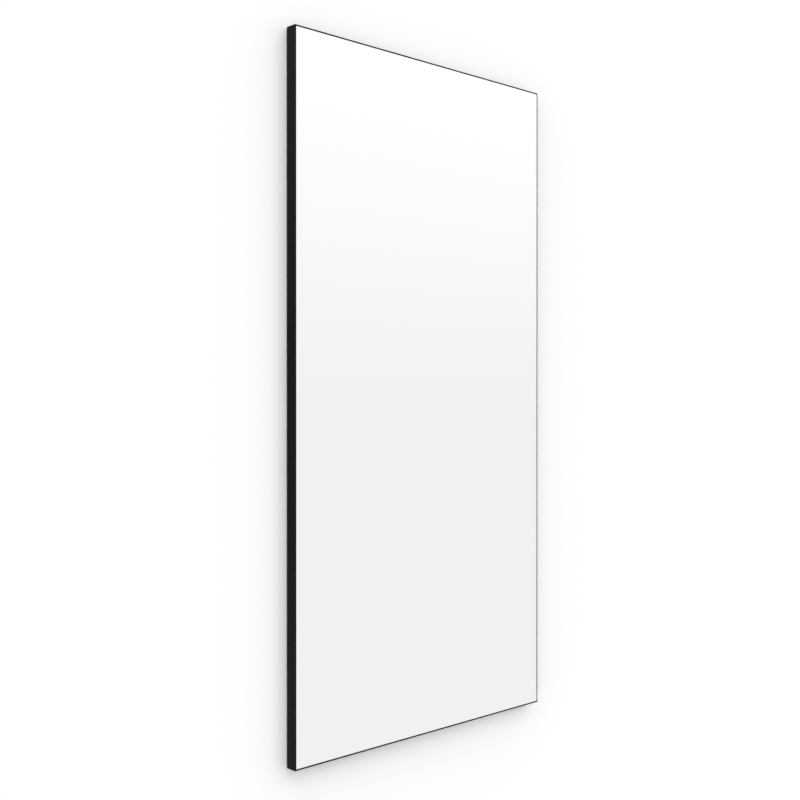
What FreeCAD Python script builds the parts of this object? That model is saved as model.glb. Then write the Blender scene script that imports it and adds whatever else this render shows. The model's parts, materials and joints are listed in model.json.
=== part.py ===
import FreeCAD, Part
import math
import os
import re
import Sketcher

# Pull out closet mirror, in millimetres. X runs along the mirror's width, -Y is the way the glass faces,
# +Y runs into the closet's side panel and Z is up. The origin is the middle of the fixing holes, on the
# surface of the side panel. "Depth" is the distance out from that surface, so a depth of d lies at Y = -d.

driving = {
    # mirror pane and what backs it
    "mirror_width": 500,
    "mirror_height": 1000,
    "glass_thick": 4,
    "glass_setback": 0.2,
    "glass_gap": 0.3,
    "glass_arris": 0.4,
    "film_thick": 0.2,
    "film_margin": 1,
    "tape_thick": 0.6,
    "tape_width": 25,
    "tape_margin": 30,
    "panel_thick": 3,
    "panel_gap": 0.3,
    # hollow frame section
    "lip_thick": 1.5,
    "member_width": 13,
    "shelf_thick": 1.4,
    "flange_thick": 1.4,
    "inner_wall": 1.4,
    "edge_break": 0.3,
    "notch_clear": 1.5,
    "key_leg": 40,
    "key_gap": 0.2,
    "key_screw_end": 10,
    "glide_radius": 5,
    "glide_thick": 1.4,
    "glide_inset": 60,
    # fixed frame on the closet's side panel
    "plate_thick": 1.5,
    "plate_clear": 0.5,
    "rail_height": 80,
    "rail_margin": 8,
    "rail_corner": 6,
    "upright_width": 30,
    "fixing_end": 24,
    "fixing_offset": 32,
    "fixing_radius": 2.5,
    "buffer_thick": 4,
    "buffer_gap": 0.4,
    "buffer_side_gap": 2.4,
    # ball-bearing runners
    "runner_inset": 148,
    "runner_allowance": 100,
    "runner_tall": 35,
    "runner_depth": 9,
    "runner_clear": 0.6,
    "sheet_thick": 1.2,
    "middle_thick": 1.5,
    "strip_bend": 0.4,
    "middle_short": 0.4,
    "inner_offset": 12,
    "inner_proud": 0.6,
    "groove_depth": 0.35,
    "ball_play": 0.15,
    "outer_ball": 1.6,
    "inner_ball": 1.2,
    "ball_count": 9,
    "cage_thick": 0.5,
    "cage_bend": 0.2,
    "cage_gap": 0.25,
    "cage_end": 7,
    "stop_long": 2,
    "stop_tall": 8,
    "stop_gap": 0.2,
    "cage_cover": 1,
    # pivot rod, brackets and hinge blocks
    "pivot_side": 8,
    "rod_radius": 3,
    "rod_end": 5,
    "bush_gap": 0.05,
    "bush_wall": 0.95,
    "barrel_clear": 0.5,
    "barrel_rise": 12,
    "tongue_thick": 3,
    "tongue_side_gap": 0.8,
    "tongue_lap": 60,
    "washer_thick": 1,
    "turn_clear": 0.1,
    "clip_thick": 0.8,
    "clip_mouth": 4.4,
    "pin_radius": 1,
    "pin_sink": 0.3,
    "block_reach": 20,
    "block_height": 36,
    "core_wall": 1.6,
    "core_deep": 3,
    "core_draught": 6,
    "clamp_height": 36,
    "clamp_slit": 1,
    "clamp_core_deep": 2.4,
    "clamp_boss_wall": 3.4,
    "clamp_screw_radius": 1.65,
    "clamp_head_radius": 3.2,
    "clamp_head_deep": 2.2,
    "socket_radius": 1.7,
    "socket_deep": 1.3,
    "collar_height": 8,
    "collar_gap": 0.4,
    "lug_clear": 1,
    "lug_width": 2,
    "lug_angle": 30,
    "peg_radius": 0.8,
    "swing_limit": 110,
    "stop_margin": 1,
    # catch that keeps the mirror flat on the runners
    "strike_thick": 0.4,
    "strike_width": 20,
    "strike_tall": 12,
    "strike_corner": 1.5,
    "magnet_width": 16,
    "magnet_tall": 10,
    "catch_gap": 0.3,
    "catch_inset": 20,
    # screws and rivets
    "screw_radius": 1.5,
    "screw_head": 1.1,
    "side_screw_end": 65,
    "end_screw_end": 100,
    "block_screw_radius": 2,
    "block_screw_head": 1.8,
    "block_screw_bite": 4.5,
    "block_screw_out": 13,
    "block_screw_spread": 11,
    "key_screw_bite": 5,
    "rivet_radius": 2,
    "rivet_head": 0.8,
    "rivet_rim": 1.2,
    "runner_rivet_end": 35,
    "bracket_rivet_pitch": 18,
}

# Places and fits that follow from the driving sizes. Names that end in _at are depths.
worked_out = {
    "half_width": "mirror_width / 2",
    "half_height": "mirror_height / 2",
    "rear_at": "plate_thick + plate_clear",
    "shelf_at": "plate_thick + runner_depth + runner_clear",
    "panel_at": "shelf_at + shelf_thick",
    "tape_at": "panel_at + panel_thick",
    "film_at": "tape_at + tape_thick",
    "glass_at": "film_at + film_thick",
    "front_at": "glass_at + glass_thick + glass_setback",
    "chamber_at": "rear_at + flange_thick",
    "chamber_in": "member_width - inner_wall",
    "chamber_mid": "(lip_thick + chamber_in) / 2",
    "panel_half_wide": "half_width - lip_thick - panel_gap",
    "panel_half_tall": "half_height - lip_thick - panel_gap",
    "glass_half_wide": "half_width - lip_thick - glass_gap",
    "glass_half_tall": "half_height - lip_thick - glass_gap",
    "tape_pitch": "(2 * glass_half_wide - tape_width - 2 * tape_margin) / 4",
    "pivot_x": "member_width + pivot_side - half_width",
    "pivot_at": "(rear_at + panel_at) / 2",
    "bush_radius": "rod_radius + bush_gap + bush_wall",
    "barrel_radius": "(panel_at - rear_at) / 2 - barrel_clear",
    "block_start": "member_width - half_width",
    "block_end": "pivot_x + block_reach",
    "screw_x": "pivot_x + block_screw_out",
    "core_start": "pivot_x + bush_radius + core_wall",
    "core_end": "block_end - core_wall",
    "clamp_boss": "clamp_head_radius + clamp_boss_wall",
    "runner_height": "half_height - runner_inset",
    "runner_length": "mirror_width - runner_allowance",
    "runner_start": "-runner_length / 2",
    "runner_end": "runner_length / 2",
    "runner_half": "runner_tall / 2",
    "outer_face": "runner_half - sheet_thick",
    "outer_race": "outer_ball + ball_play",
    "outer_ball_z": "outer_face - outer_race + groove_depth",
    "middle_half": "outer_ball_z - outer_race + groove_depth",
    "middle_face": "middle_half - middle_thick",
    "inner_race": "inner_ball + ball_play",
    "inner_ball_z": "middle_face - inner_race + groove_depth",
    "inner_half": "inner_ball_z - inner_race + groove_depth",
    "inner_face": "inner_half - sheet_thick",
    "outer_cage_at": "plate_thick + sheet_thick + cage_gap",
    "middle_at": "outer_cage_at + cage_thick + cage_gap",
    "middle_web_at": "middle_at + sheet_thick",
    "middle_end_at": "plate_thick + runner_depth - middle_short",
    "inner_cage_at": "middle_web_at + cage_gap",
    "inner_front_at": "plate_thick + runner_depth + inner_proud",
    "inner_web_at": "inner_front_at - sheet_thick",
    "inner_at": "inner_cage_at + cage_thick + cage_gap",
    "outer_ball_at": "(middle_at + middle_end_at) / 2",
    "inner_ball_at": "(inner_at + inner_web_at) / 2",
    "inner_start": "pivot_x + inner_offset",
    "inner_end": "inner_start + runner_length",
    "cage_room": "runner_length / 2 - 2 * (cage_end + stop_long + stop_gap)",
    "outer_ball_pitch": "cage_room / (ball_count - 1)",
    "inner_ball_pitch": "(cage_room - runner_start + inner_start) / (ball_count - 1)",
    "outer_row_start": "-(ball_count - 1) * outer_ball_pitch / 2",
    "inner_row_start": "(runner_start + inner_end - (ball_count - 1) * inner_ball_pitch) / 2",
    "rail_start": "runner_start - rail_margin",
    "rail_end": "runner_end + rail_margin",
    "fixing_x": "runner_length / 2 - fixing_end",
    "upright_top": "runner_height - rail_height / 2",
    "buffer_start": "runner_end + buffer_gap",
    "buffer_half": "middle_face - buffer_side_gap",
    "runner_rivet_pitch": "(runner_length - 2 * runner_rivet_end) / 3",
    "tongue_at": "inner_web_at - tongue_thick",
    "tongue_half": "inner_face - tongue_side_gap",
    "tongue_end": "inner_start + tongue_lap",
    "bracket_rivet_x": "(inner_start + tongue_end) / 2",
    "barrel_low": "tongue_half",
    "barrel_high": "tongue_half + barrel_rise",
    "block_low": "barrel_high + washer_thick + turn_clear",
    "pin_z": "(tongue_half + barrel_high) / 2",
    "rod_low": "-runner_height - barrel_low - rod_end",
    "rod_high": "runner_height + block_low + block_height + rod_end",
    "collar_low": "clamp_height / 2 + collar_gap",
    "lug_end": "pivot_side - lug_clear",
    "stop_radius": "(barrel_radius + lug_end) / 2",
    "peg_half_angle": "asin(peg_radius / stop_radius) / 1 deg",
    "lug_half_angle": "asin(lug_width / 2 / stop_radius) / 1 deg",
    "peg_angle": "lug_angle + lug_half_angle + peg_half_angle + swing_limit + stop_margin",
    "clamp_screw_end": "panel_at - panel_gap",
    "catch_x": "inner_end - catch_inset",
    "magnet_thick": "panel_at - inner_front_at - strike_thick - catch_gap",
    "notch_half": "runner_half + notch_clear",
    "key_screw_out": "key_leg - key_screw_end",
    "side_screw_pitch": "(mirror_height - 2 * side_screw_end) / 6",
    "end_screw_pitch": "(mirror_width - 2 * end_screw_end) / 2",
}

document = FreeCAD.newDocument("pull_out_mirror")
sizes = document.addObject("Spreadsheet::Sheet", "sizes")
places = document.addObject("Spreadsheet::Sheet", "places")
finished = []
same_place = 0.001


def named(text, own=""):
    # Puts the sheet's name before each size or place that a formula uses.
    def full(match):
        word = match.group()
        if word in driving:
            return "sizes." + word
        if word in worked_out and own != "places":
            return "places." + word
        return word
    return re.sub(r"[a-z][a-z_]*", full, text)


def fill_sheets():
    for row, (alias, size) in enumerate(driving.items(), start=1):
        sizes.set(f"A{row}", alias.replace("_", " "))
        sizes.set(f"B{row}", str(size))
        sizes.setAlias(f"B{row}", alias)
    document.recompute()
    for row, (alias, formula) in enumerate(worked_out.items(), start=1):
        places.set(f"A{row}", alias.replace("_", " "))
        places.set(f"B{row}", "=" + named(formula, own="places"))
        places.setAlias(f"B{row}", alias)
    document.recompute()


def value(text):
    return float(sizes.evalExpression(named(text)))


# The three ways a section is drawn, with the sign that turns each drawing's coordinates into the plane's:
# "face" is drawn in X and Z and grows with depth, "plan" in X and depth and grows up, and
# "end" in depth and Z and grows along X.
drawings = {
    "face": ("XZ_Plane", "", ""),
    "plan": ("XY_Plane", "", "-"),
    "end": ("YZ_Plane", "-", ""),
}


def new_body(label):
    body = document.addObject("PartDesign::Body", label)
    body.Label = label
    body.AllowCompound = True
    finished.append(body)
    return body


def origin_item(body, role):
    return next(item for item in body.Origin.OriginFeatures if item.Role == role)


def new_sketch(body, drawing, start):
    sketch = body.newObject("Sketcher::SketchObject", f"{body.Name}_sketch")
    sketch.AttachmentSupport = [(origin_item(body, drawings[drawing][0]), "")]
    sketch.MapMode = "FlatFace"
    sketch.setExpression("AttachmentOffset.Base.z", named(start))
    return sketch


def pin_point(sketch, drawing, shape, end, point):
    # Fixes one point of the sketch to the formulas for its two coordinates.
    signs = drawings[drawing][1:]
    for kind, sign, formula in zip(("DistanceX", "DistanceY"), signs, point):
        formula = f"{sign}({formula})"
        index = sketch.addConstraint(Sketcher.Constraint(kind, -1, 1, shape, end, value(formula)))
        sketch.setExpression(f"Constraints[{index}]", named(formula))


def draw_loop(sketch, drawing, corners):
    signs = [-1 if sign else 1 for sign in drawings[drawing][1:]]
    spots = [FreeCAD.Vector(signs[0] * value(a), signs[1] * value(b), 0) for a, b in corners]
    first = sketch.GeometryCount
    count = len(corners)
    for here, there in zip(spots, spots[1:] + spots[:1]):
        sketch.addGeometry(Part.LineSegment(here, there))
    for step in range(count):
        following = first + (step + 1) % count
        sketch.addConstraint(Sketcher.Constraint("Coincident", first + step, 2, following, 1))
    for step, corner in enumerate(corners):
        pin_point(sketch, drawing, first + step, 1, corner)


def draw_circle(sketch, drawing, centre, radius):
    signs = [-1 if sign else 1 for sign in drawings[drawing][1:]]
    middle = FreeCAD.Vector(signs[0] * value(centre[0]), signs[1] * value(centre[1]), 0)
    index = sketch.addGeometry(Part.Circle(middle, FreeCAD.Vector(0, 0, 1), value(radius)))
    pin_point(sketch, drawing, index, 3, centre)
    round_size = sketch.addConstraint(Sketcher.Constraint("Radius", index, value(radius)))
    sketch.setExpression(f"Constraints[{round_size}]", named(radius))


def extrude(kind, body, drawing, start, length, loops, centres, radius, taper):
    sketch = new_sketch(body, drawing, start)
    for corners in loops:
        draw_loop(sketch, drawing, corners)
    for centre in centres:
        draw_circle(sketch, drawing, centre, radius)
    feature = body.newObject(f"PartDesign::{kind}", f"{body.Name}_{kind.lower()}")
    feature.Profile = sketch
    feature.setExpression("Length", named(length))
    feature.TaperAngle = taper
    feature.Reversed = kind == "Pocket"
    return feature


def pad(body, drawing, start, length, loops=(), centres=(), radius="", taper=0):
    return extrude("Pad", body, drawing, start, length, loops, centres, radius, taper)


def pocket(body, drawing, start, length, loops=(), centres=(), radius="", taper=0):
    return extrude("Pocket", body, drawing, start, length, loops, centres, radius, taper)


def rectangle(low_a, high_a, low_b, high_b):
    return [(low_a, low_b), (high_a, low_b), (high_a, high_b), (low_a, high_b)]


def centred(a, b, wide, tall):
    return rectangle(f"{a} - {wide} / 2", f"{a} + {wide} / 2", f"{b} - {tall} / 2", f"{b} + {tall} / 2")


def both_sides(label, build):
    # Makes the upper and the lower copy of a piece that is drawn about its runner's centre line.
    for side, sign in (("upper", ""), ("lower", "-")):
        body = new_body(f"{side}_{label}")
        build(body)
        body.setExpression("Placement.Base.z", named(f"{sign}runner_height"))


def at_both_runners(spots):
    return [(x, f"{sign}runner_height + ({z})") for x, z in spots for sign in ("", "-")]


def repeat_along(body, feature, ways):
    # Copies the feature in one or two directions; each way is an axis, a count and a pitch.
    document.recompute()
    pattern = body.newObject("PartDesign::LinearPattern", f"{body.Name}_row")
    pattern.Originals = [feature]
    for suffix, (axis, count, pitch) in zip(("", "2"), ways):
        setattr(pattern, "Direction" + suffix, (origin_item(body, axis), [""]))
        pattern.setExpression("Occurrences" + suffix, named(count))
        pattern.setExpression("Length" + suffix, named(f"({count} - 1) * ({pitch})"))
    body.Tip = pattern


def round_edges(body, feature, along, spots, radius):
    # Rounds the feature's edges that run along one axis through the given spots. Each spot has the edge's
    # coordinates on the other two axes, in the order X, Y, Z.
    document.recompute()
    others = [way for way, axis in enumerate("XYZ") if axis != along]
    wanted = [[value(part) for part in spot] for spot in spots]
    names = []
    for number, edge in enumerate(feature.Shape.Edges, start=1):
        ends = [[vertex.Point[way] for way in others] for vertex in edge.Vertexes]
        if any(all(math.dist(end, spot) < same_place for end in ends) for spot in wanted):
            names.append(f"Edge{number}")
    rounding = body.newObject("PartDesign::Fillet", f"{body.Name}_round")
    rounding.Base = (feature, names)
    rounding.setExpression("Radius", named(radius))
    return rounding


# Fixed frame on the side panel

def runner_rivet_spots():
    return [(f"({step}) * runner_rivet_pitch", "0") for step in (-1.5, -0.5, 0.5, 1.5)]


def mounting_rail(body):
    outline = rectangle("rail_start", "rail_end", "-rail_height / 2", "rail_height / 2")
    fixings = [(f"{a}fixing_x", f"{b}fixing_offset") for a in ("", "-") for b in ("", "-")]
    plate = pad(body, "face", "0", "plate_thick", loops=[outline])
    round_edges(body, plate, "Y", outline, "rail_corner")
    pocket(body, "face", "0", "plate_thick", centres=fixings, radius="fixing_radius")
    pocket(body, "face", "0", "plate_thick", centres=runner_rivet_spots(), radius="rivet_radius")


def uprights():
    for label, sign in (("front_upright", "-"), ("rear_upright", "")):
        outline = centred(f"{sign}fixing_x", "0", "upright_width", "(2 * upright_top)")
        pad(new_body(label), "face", "0", "plate_thick", loops=[outline])


def closing_buffers():
    # The foot stands behind the middle runner's end, and the nose reaches forward to the inner runner's.
    body = new_body("closing_buffers")
    foot_end, front = "buffer_start + buffer_thick", "plate_thick + runner_depth"
    outline = [("buffer_start", "plate_thick"), (foot_end, "plate_thick"), (foot_end, front),
               ("inner_end + buffer_gap", front), ("inner_end + buffer_gap", "inner_at"),
               ("buffer_start", "inner_at")]
    for sign in ("", "-"):
        pad(body, "plan", f"{sign}runner_height - buffer_half", "2 * buffer_half", loops=[outline])


# Runners: an outer, a middle and an inner channel, nested, with balls and cages between them

def race(body, start, at, across, radius):
    # The pair of round grooves that a runner's two rows of balls roll in.
    pocket(body, "end", start, "runner_length", centres=[(at, across), (at, "-" + across)], radius=radius)


def folded_channel(body, start, length, outside, half, inside, face, end_at, bend, thick):
    # A channel folded from strip. The outside of its web and of its legs stand at "outside" and "half",
    # their inside at "inside" and "face", and both corners are bent round.
    section = [(outside, "-" + half), (end_at, "-" + half), (end_at, "-" + face), (inside, "-" + face),
               (inside, face), (end_at, face), (end_at, half), (outside, half)]
    flat = pad(body, "end", start, length, loops=[section])
    outer = [(f"-({outside})", sign + half) for sign in ("", "-")]
    inner = [(f"-({inside})", sign + face) for sign in ("", "-")]
    bent = round_edges(body, flat, "X", outer, f"{bend} + {thick}")
    round_edges(body, bent, "X", inner, bend)


def stop_tab(body, start, low_at, high_at):
    # A tab that the ball cage meets at the end of the travel.
    across = rectangle(low_at, high_at, "-stop_tall / 2", "stop_tall / 2")
    pad(body, "end", start, "stop_long", loops=[across])


def outer_runner(body):
    folded_channel(body, "runner_start", "runner_length", "plate_thick", "runner_half",
                   "plate_thick + sheet_thick", "outer_face", "plate_thick + runner_depth", "strip_bend",
                   "sheet_thick")
    race(body, "runner_start", "outer_ball_at", "outer_ball_z", "outer_race")
    rivet_holes(body, runner_rivet_spots(), "plate_thick", "plate_thick + sheet_thick")
    stop_tab(body, "runner_start", "plate_thick + sheet_thick", "outer_cage_at + cage_thick")


def middle_runner(body):
    folded_channel(body, "runner_start", "runner_length", "middle_at", "middle_half", "middle_web_at",
                   "middle_face", "middle_end_at", "strip_bend", "sheet_thick")
    race(body, "runner_start", "outer_ball_at", "outer_ball_z", "outer_race")
    race(body, "runner_start", "inner_ball_at", "inner_ball_z", "inner_race")
    stop_tab(body, "runner_start", "middle_web_at", "inner_cage_at + cage_thick")
    stop_tab(body, "runner_end - stop_long", "outer_cage_at", "middle_at")


def inner_runner(body):
    folded_channel(body, "inner_start", "runner_length", "inner_front_at", "inner_half", "inner_web_at",
                   "inner_face", "inner_at", "strip_bend", "sheet_thick")
    race(body, "inner_start", "inner_ball_at", "inner_ball_z", "inner_race")
    rivet_holes(body, bracket_rivet_spots(), "inner_web_at", "inner_front_at")
    stop_tab(body, "inner_end - stop_long", "inner_cage_at", "inner_web_at")


def cage(body, web_at, ball, row_z, row_at, row_start, pitch):
    # A thin channel whose two legs stand between the races, with a hole for each ball.
    low, high = f"({row_z} - cage_thick / 2)", f"({row_z} + cage_thick / 2)"
    start, length = f"{row_start} - cage_end", f"(ball_count - 1) * {pitch} + 2 * cage_end"
    folded_channel(body, start, length, web_at, high, f"{web_at} + cage_thick", low,
                   f"{row_at} + {ball} + cage_cover", "cage_bend", "cage_thick")
    holes = pocket(body, "plan", f"-{high}", f"2 * {high}", centres=[(row_start, row_at)],
                   radius=f"{ball} + ball_play")
    repeat_along(body, holes, [("X_Axis", "ball_count", pitch)])


def balls(body, ball, row_z, row_at, row_start, pitch):
    sphere = body.newObject("PartDesign::AdditiveSphere", f"{body.Name}_ball")
    sphere.setExpression("Radius", named(ball))
    sphere.setExpression("Placement.Base.x", named(row_start))
    sphere.setExpression("Placement.Base.y", named(f"-({row_at})"))
    sphere.setExpression("Placement.Base.z", named(f"-{row_z}"))
    repeat_along(body, sphere, [("X_Axis", "ball_count", pitch), ("Z_Axis", "2", f"2 * {row_z}")])


def cages_and_balls():
    for row, web_at in (("outer", "outer_cage_at"), ("inner", "inner_cage_at")):
        layout = (f"{row}_ball", f"{row}_ball_z", f"{row}_ball_at", f"{row}_row_start", f"{row}_ball_pitch")
        both_sides(f"{row}_cage", lambda body: cage(body, web_at, *layout))
        both_sides(f"{row}_balls", lambda body: balls(body, *layout))


# Rivets and screws, with the holes they fill

def rivet_holes(body, spots, low, high):
    pocket(body, "face", low, f"{high} - ({low})", centres=spots, radius="rivet_radius")
    pocket(body, "face", f"{high} - rivet_head", "rivet_head", centres=spots, radius="rivet_radius", taper=45)


def rivets(label, spots, low, high):
    # Countersunk at the front, with the head flush.
    body = new_body(label)
    pad(body, "face", low, f"{high} - ({low}) - rivet_head", centres=spots, radius="rivet_radius")
    pad(body, "face", f"{high} - rivet_head", "rivet_head", centres=spots, radius="rivet_radius", taper=45)
    return body


def screw_holes(body, spots, radius, head, low, high):
    pocket(body, "face", low, f"{high} - ({low})", centres=spots, radius=radius)
    pocket(body, "face", f"{high} - {head}", head, centres=spots, radius=radius, taper=45)


def front_screws(label, spots, radius, head, tip_at):
    # Countersunk flush in the back panel's front and driven towards the side panel.
    body = new_body(label)
    pad(body, "face", tip_at, f"tape_at - {head} - ({tip_at})", centres=spots, radius=radius)
    pad(body, "face", f"tape_at - {head}", head, centres=spots, radius=radius, taper=45)


# Pivot on the inner runners

axis_spot = [("pivot_x", "pivot_at")]


def bracket_rivet_spots():
    return [(f"bracket_rivet_x + ({step}) * bracket_rivet_pitch", "0") for step in (-1, 0, 1)]


def bracket_rivets():
    spots = at_both_runners(bracket_rivet_spots())
    body = rivets("bracket_rivets", spots, "tongue_at", "inner_front_at")
    pad(body, "face", "tongue_at - rivet_head", "rivet_head", centres=spots,
        radius="rivet_radius + rivet_rim")


def pivot_bracket(body):
    # An upright barrel that holds the rod, on a tongue that is riveted inside the inner runner.
    pad(body, "plan", "-barrel_low", "barrel_low + barrel_high", centres=axis_spot, radius="barrel_radius")
    tongue = rectangle("pivot_x", "tongue_end", "-tongue_half", "tongue_half")
    pad(body, "face", "tongue_at", "tongue_thick", loops=[tongue])
    pocket(body, "plan", "-barrel_low", "barrel_low + barrel_high", centres=axis_spot, radius="rod_radius")
    pocket(body, "face", "pivot_at - barrel_radius", "2 * barrel_radius", centres=[("pivot_x", "pin_z")],
           radius="pin_radius")
    pocket(body, "face", "tongue_at", "tongue_thick", centres=bracket_rivet_spots(), radius="rivet_radius")


def pivot_rod():
    body = new_body("pivot_rod")
    pad(body, "plan", "rod_low", "rod_high - rod_low", centres=axis_spot, radius="rod_radius")
    pocket(body, "face", "pivot_at - rod_radius", "2 * rod_radius",
           centres=at_both_runners([("pivot_x", "pin_z")]), radius="pin_radius")


def spring_pins():
    pad(new_body("spring_pins"), "face", "pivot_at - barrel_radius + pin_sink",
        "2 * (barrel_radius - pin_sink)", centres=at_both_runners([("pivot_x", "pin_z")]),
        radius="pin_radius")


def rings(label, lows, height, inside, outside):
    # Rings round the rod, one standing on each of the given heights.
    body = new_body(label)
    for low in lows:
        pad(body, "plan", low, height, centres=axis_spot, radius=outside)
    pocket(body, "plan", "rod_low", "rod_high - rod_low", centres=axis_spot, radius=inside)
    return body


def rings_on_rod():
    above = "runner_height + block_low + block_height + turn_clear"
    below = "-runner_height - barrel_low - clip_thick"
    bush_lows = ["block_low - runner_height", "block_low + runner_height"]
    washer_lows = ["barrel_high - runner_height", "barrel_high + runner_height"]
    rings("thrust_washers", washer_lows, "washer_thick", "rod_radius", "barrel_radius")
    clips = rings("rod_clips", [below, above], "clip_thick", "rod_radius", "barrel_radius")
    # Each clip is pushed onto the rod from the side, through its mouth.
    mouth = centred("pivot_x - barrel_radius", "pivot_at", "(2 * barrel_radius)", "clip_mouth")
    pocket(clips, "plan", "rod_low", "rod_high - rod_low", loops=[mouth])
    rings("pivot_bushes", bush_lows, "block_height", "rod_radius + bush_gap", "bush_radius")
    rings("friction_sleeve", ["-clamp_height / 2"], "clamp_height", "rod_radius + bush_gap", "bush_radius")


def stop_collar():
    # Drawn about its own axis with the lug along X, then turned and moved onto the rod.
    body = new_body("stop_collar")
    pad(body, "plan", "collar_low", "collar_height", centres=[("0", "0")], radius="barrel_radius")
    lug = rectangle("0", "lug_end", "-lug_width / 2", "lug_width / 2")
    pad(body, "plan", "collar_low", "collar_height", loops=[lug])
    pocket(body, "plan", "collar_low", "collar_height", centres=[("0", "0")], radius="rod_radius")
    body.Placement.Rotation = FreeCAD.Rotation(FreeCAD.Vector(0, 0, 1), value("lug_angle"))
    body.setExpression("Placement.Rotation.Angle", named("lug_angle * 1 deg"))
    body.setExpression("Placement.Base.x", named("pivot_x"))
    body.setExpression("Placement.Base.y", named("-pivot_at"))


def catch_plates(label, wide, tall, start, thick):
    body = new_body(label)
    outlines = [centred(x, z, wide, tall) for x, z in at_both_runners([("catch_x", "0")])]
    return body, pad(body, "face", start, thick, loops=outlines), sum(outlines, [])


def catch():
    catch_plates("catch_magnets", "magnet_width", "magnet_tall", "inner_front_at", "magnet_thick")
    body, plates, corners = catch_plates("strike_plates", "strike_width", "strike_tall",
                                         "panel_at - strike_thick", "strike_thick")
    round_edges(body, plates, "Y", corners, "strike_corner")


# Mirror side of the pivot

def block_blank(body, low, height):
    # A block between the frame's left member and the back panel, bored for the bush.
    outline = rectangle("block_start", "block_end", "rear_at", "panel_at")
    pad(body, "plan", low, height, loops=[outline])
    pocket(body, "plan", low, height, centres=axis_spot, radius="bush_radius")
    pocket(body, "face", "panel_at - block_screw_bite", "block_screw_bite",
           centres=block_screw_spots(f"{low} + {height} / 2"), radius="block_screw_radius")


def core_out(body, low, high, deep):
    # A casting's thick side is hollowed from behind, and the hollow narrows with its depth.
    hollow = pocket(body, "face", "rear_at", deep, loops=[rectangle("core_start", "core_end", low, high)])
    hollow.setExpression("TaperAngle", named("-core_draught * 1 deg"))


def block_screw_spots(middle):
    return [("screw_x", f"{middle} {sign} block_screw_spread") for sign in ("+", "-")]


def all_block_screw_spots():
    middles = ["0"] + [z for _, z in at_both_runners([("screw_x", "block_low + block_height / 2")])]
    return [spot for middle in middles for spot in block_screw_spots(middle)]


def hinge_block(body):
    block_blank(body, "block_low", "block_height")
    core_out(body, "block_low + core_wall", "block_low + block_height - core_wall", "core_deep")


def friction_clamp():
    # A split block, with a peg on top that meets the stop collar's lug at the end of the swing.
    body = new_body("friction_clamp")
    block_blank(body, "-clamp_height / 2", "clamp_height")
    slit = rectangle("pivot_x", "block_end + clamp_slit",
                     "pivot_at - clamp_slit / 2", "pivot_at + clamp_slit / 2")
    pocket(body, "plan", "-clamp_height / 2", "clamp_height", loops=[slit])
    pocket(body, "face", "rear_at", "clamp_screw_end - rear_at", centres=[("screw_x", "0")],
           radius="clamp_screw_radius")
    pocket(body, "face", "rear_at", "clamp_head_deep", centres=[("screw_x", "0")], radius="clamp_head_radius")
    core_out(body, "clamp_boss", "clamp_height / 2 - core_wall", "clamp_core_deep")
    core_out(body, "core_wall - clamp_height / 2", "-clamp_boss", "clamp_core_deep")
    peg = ("pivot_x + stop_radius * cos(peg_angle * 1 deg)",
           "pivot_at - stop_radius * sin(peg_angle * 1 deg)")
    pad(body, "plan", "clamp_height / 2", "collar_gap + collar_height", centres=[peg], radius="peg_radius")


def clamp_screw():
    body = new_body("clamp_screw")
    spot = [("screw_x", "0")]
    pad(body, "face", "rear_at + clamp_head_deep", "clamp_screw_end - rear_at - clamp_head_deep",
        centres=spot, radius="clamp_screw_radius")
    pad(body, "face", "rear_at", "clamp_head_deep", centres=spot, radius="clamp_head_radius - bush_gap")
    corners = [(f"screw_x + socket_radius * cos({60 * side} deg)", f"socket_radius * sin({60 * side} deg)")
               for side in range(6)]
    pocket(body, "face", "rear_at", "socket_deep", loops=[corners])


# Frame, panel and glass

member_ends = {
    "left_stile": [("-", ""), ("-", "-")],
    "right_stile": [("", ""), ("", "-")],
    "top_rail": [("", ""), ("-", "")],
    "bottom_rail": [("", "-"), ("-", "-")],
}


def member_section(drawing, sign, half):
    # The frame's hollow section; each point's first distance is measured in from the frame's outer face.
    outer = [("0", "rear_at + edge_break"), ("0", "front_at - edge_break"), ("edge_break", "front_at"),
             ("lip_thick", "front_at"), ("lip_thick", "panel_at"), ("member_width", "panel_at"),
             ("member_width", "rear_at"), ("edge_break", "rear_at")]
    chamber = [("lip_thick", "chamber_at"), ("lip_thick", "shelf_at"), ("chamber_in", "shelf_at"),
               ("chamber_in", "chamber_at")]
    placed = [[(f"{sign}({half} - {inward})", depth) for inward, depth in loop] for loop in (outer, chamber)]
    return placed if drawing == "plan" else [[corner[::-1] for corner in loop] for loop in placed]


def mitre(body, drawing):
    # Cuts both ends at 45 degrees, on the line from the frame's outer corner to its inner corner.
    wedges = []
    for a, b in member_ends[body.Label]:
        outer_x, inner_x = f"{a}(half_width + lip_thick)", f"{a}(half_width - member_width - lip_thick)"
        outer_z, inner_z = f"{b}(half_height + lip_thick)", f"{b}(half_height - member_width - lip_thick)"
        third = (outer_x, inner_z) if drawing == "end" else (inner_x, outer_z)
        wedges.append([(outer_x, outer_z), third, (inner_x, inner_z)])
    pocket(body, "face", "0", "front_at + lip_thick", loops=wedges)


def panel_screw_spots(member):
    # The screws along one member that hold the back panel on its shelf.
    side = [f"({step}) * side_screw_pitch" for step in (-3, -2, -1, 0, 1, 2, 3)]
    end = [f"({step}) * end_screw_pitch" for step in (-1, 0, 1)]
    return {
        "left_stile": [("chamber_mid - half_width", z) for z in side],
        "right_stile": [("half_width - chamber_mid", z) for z in side],
        "top_rail": [(x, "half_height - chamber_mid") for x in end],
        "bottom_rail": [(x, "chamber_mid - half_height") for x in end],
    }[member]


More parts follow.
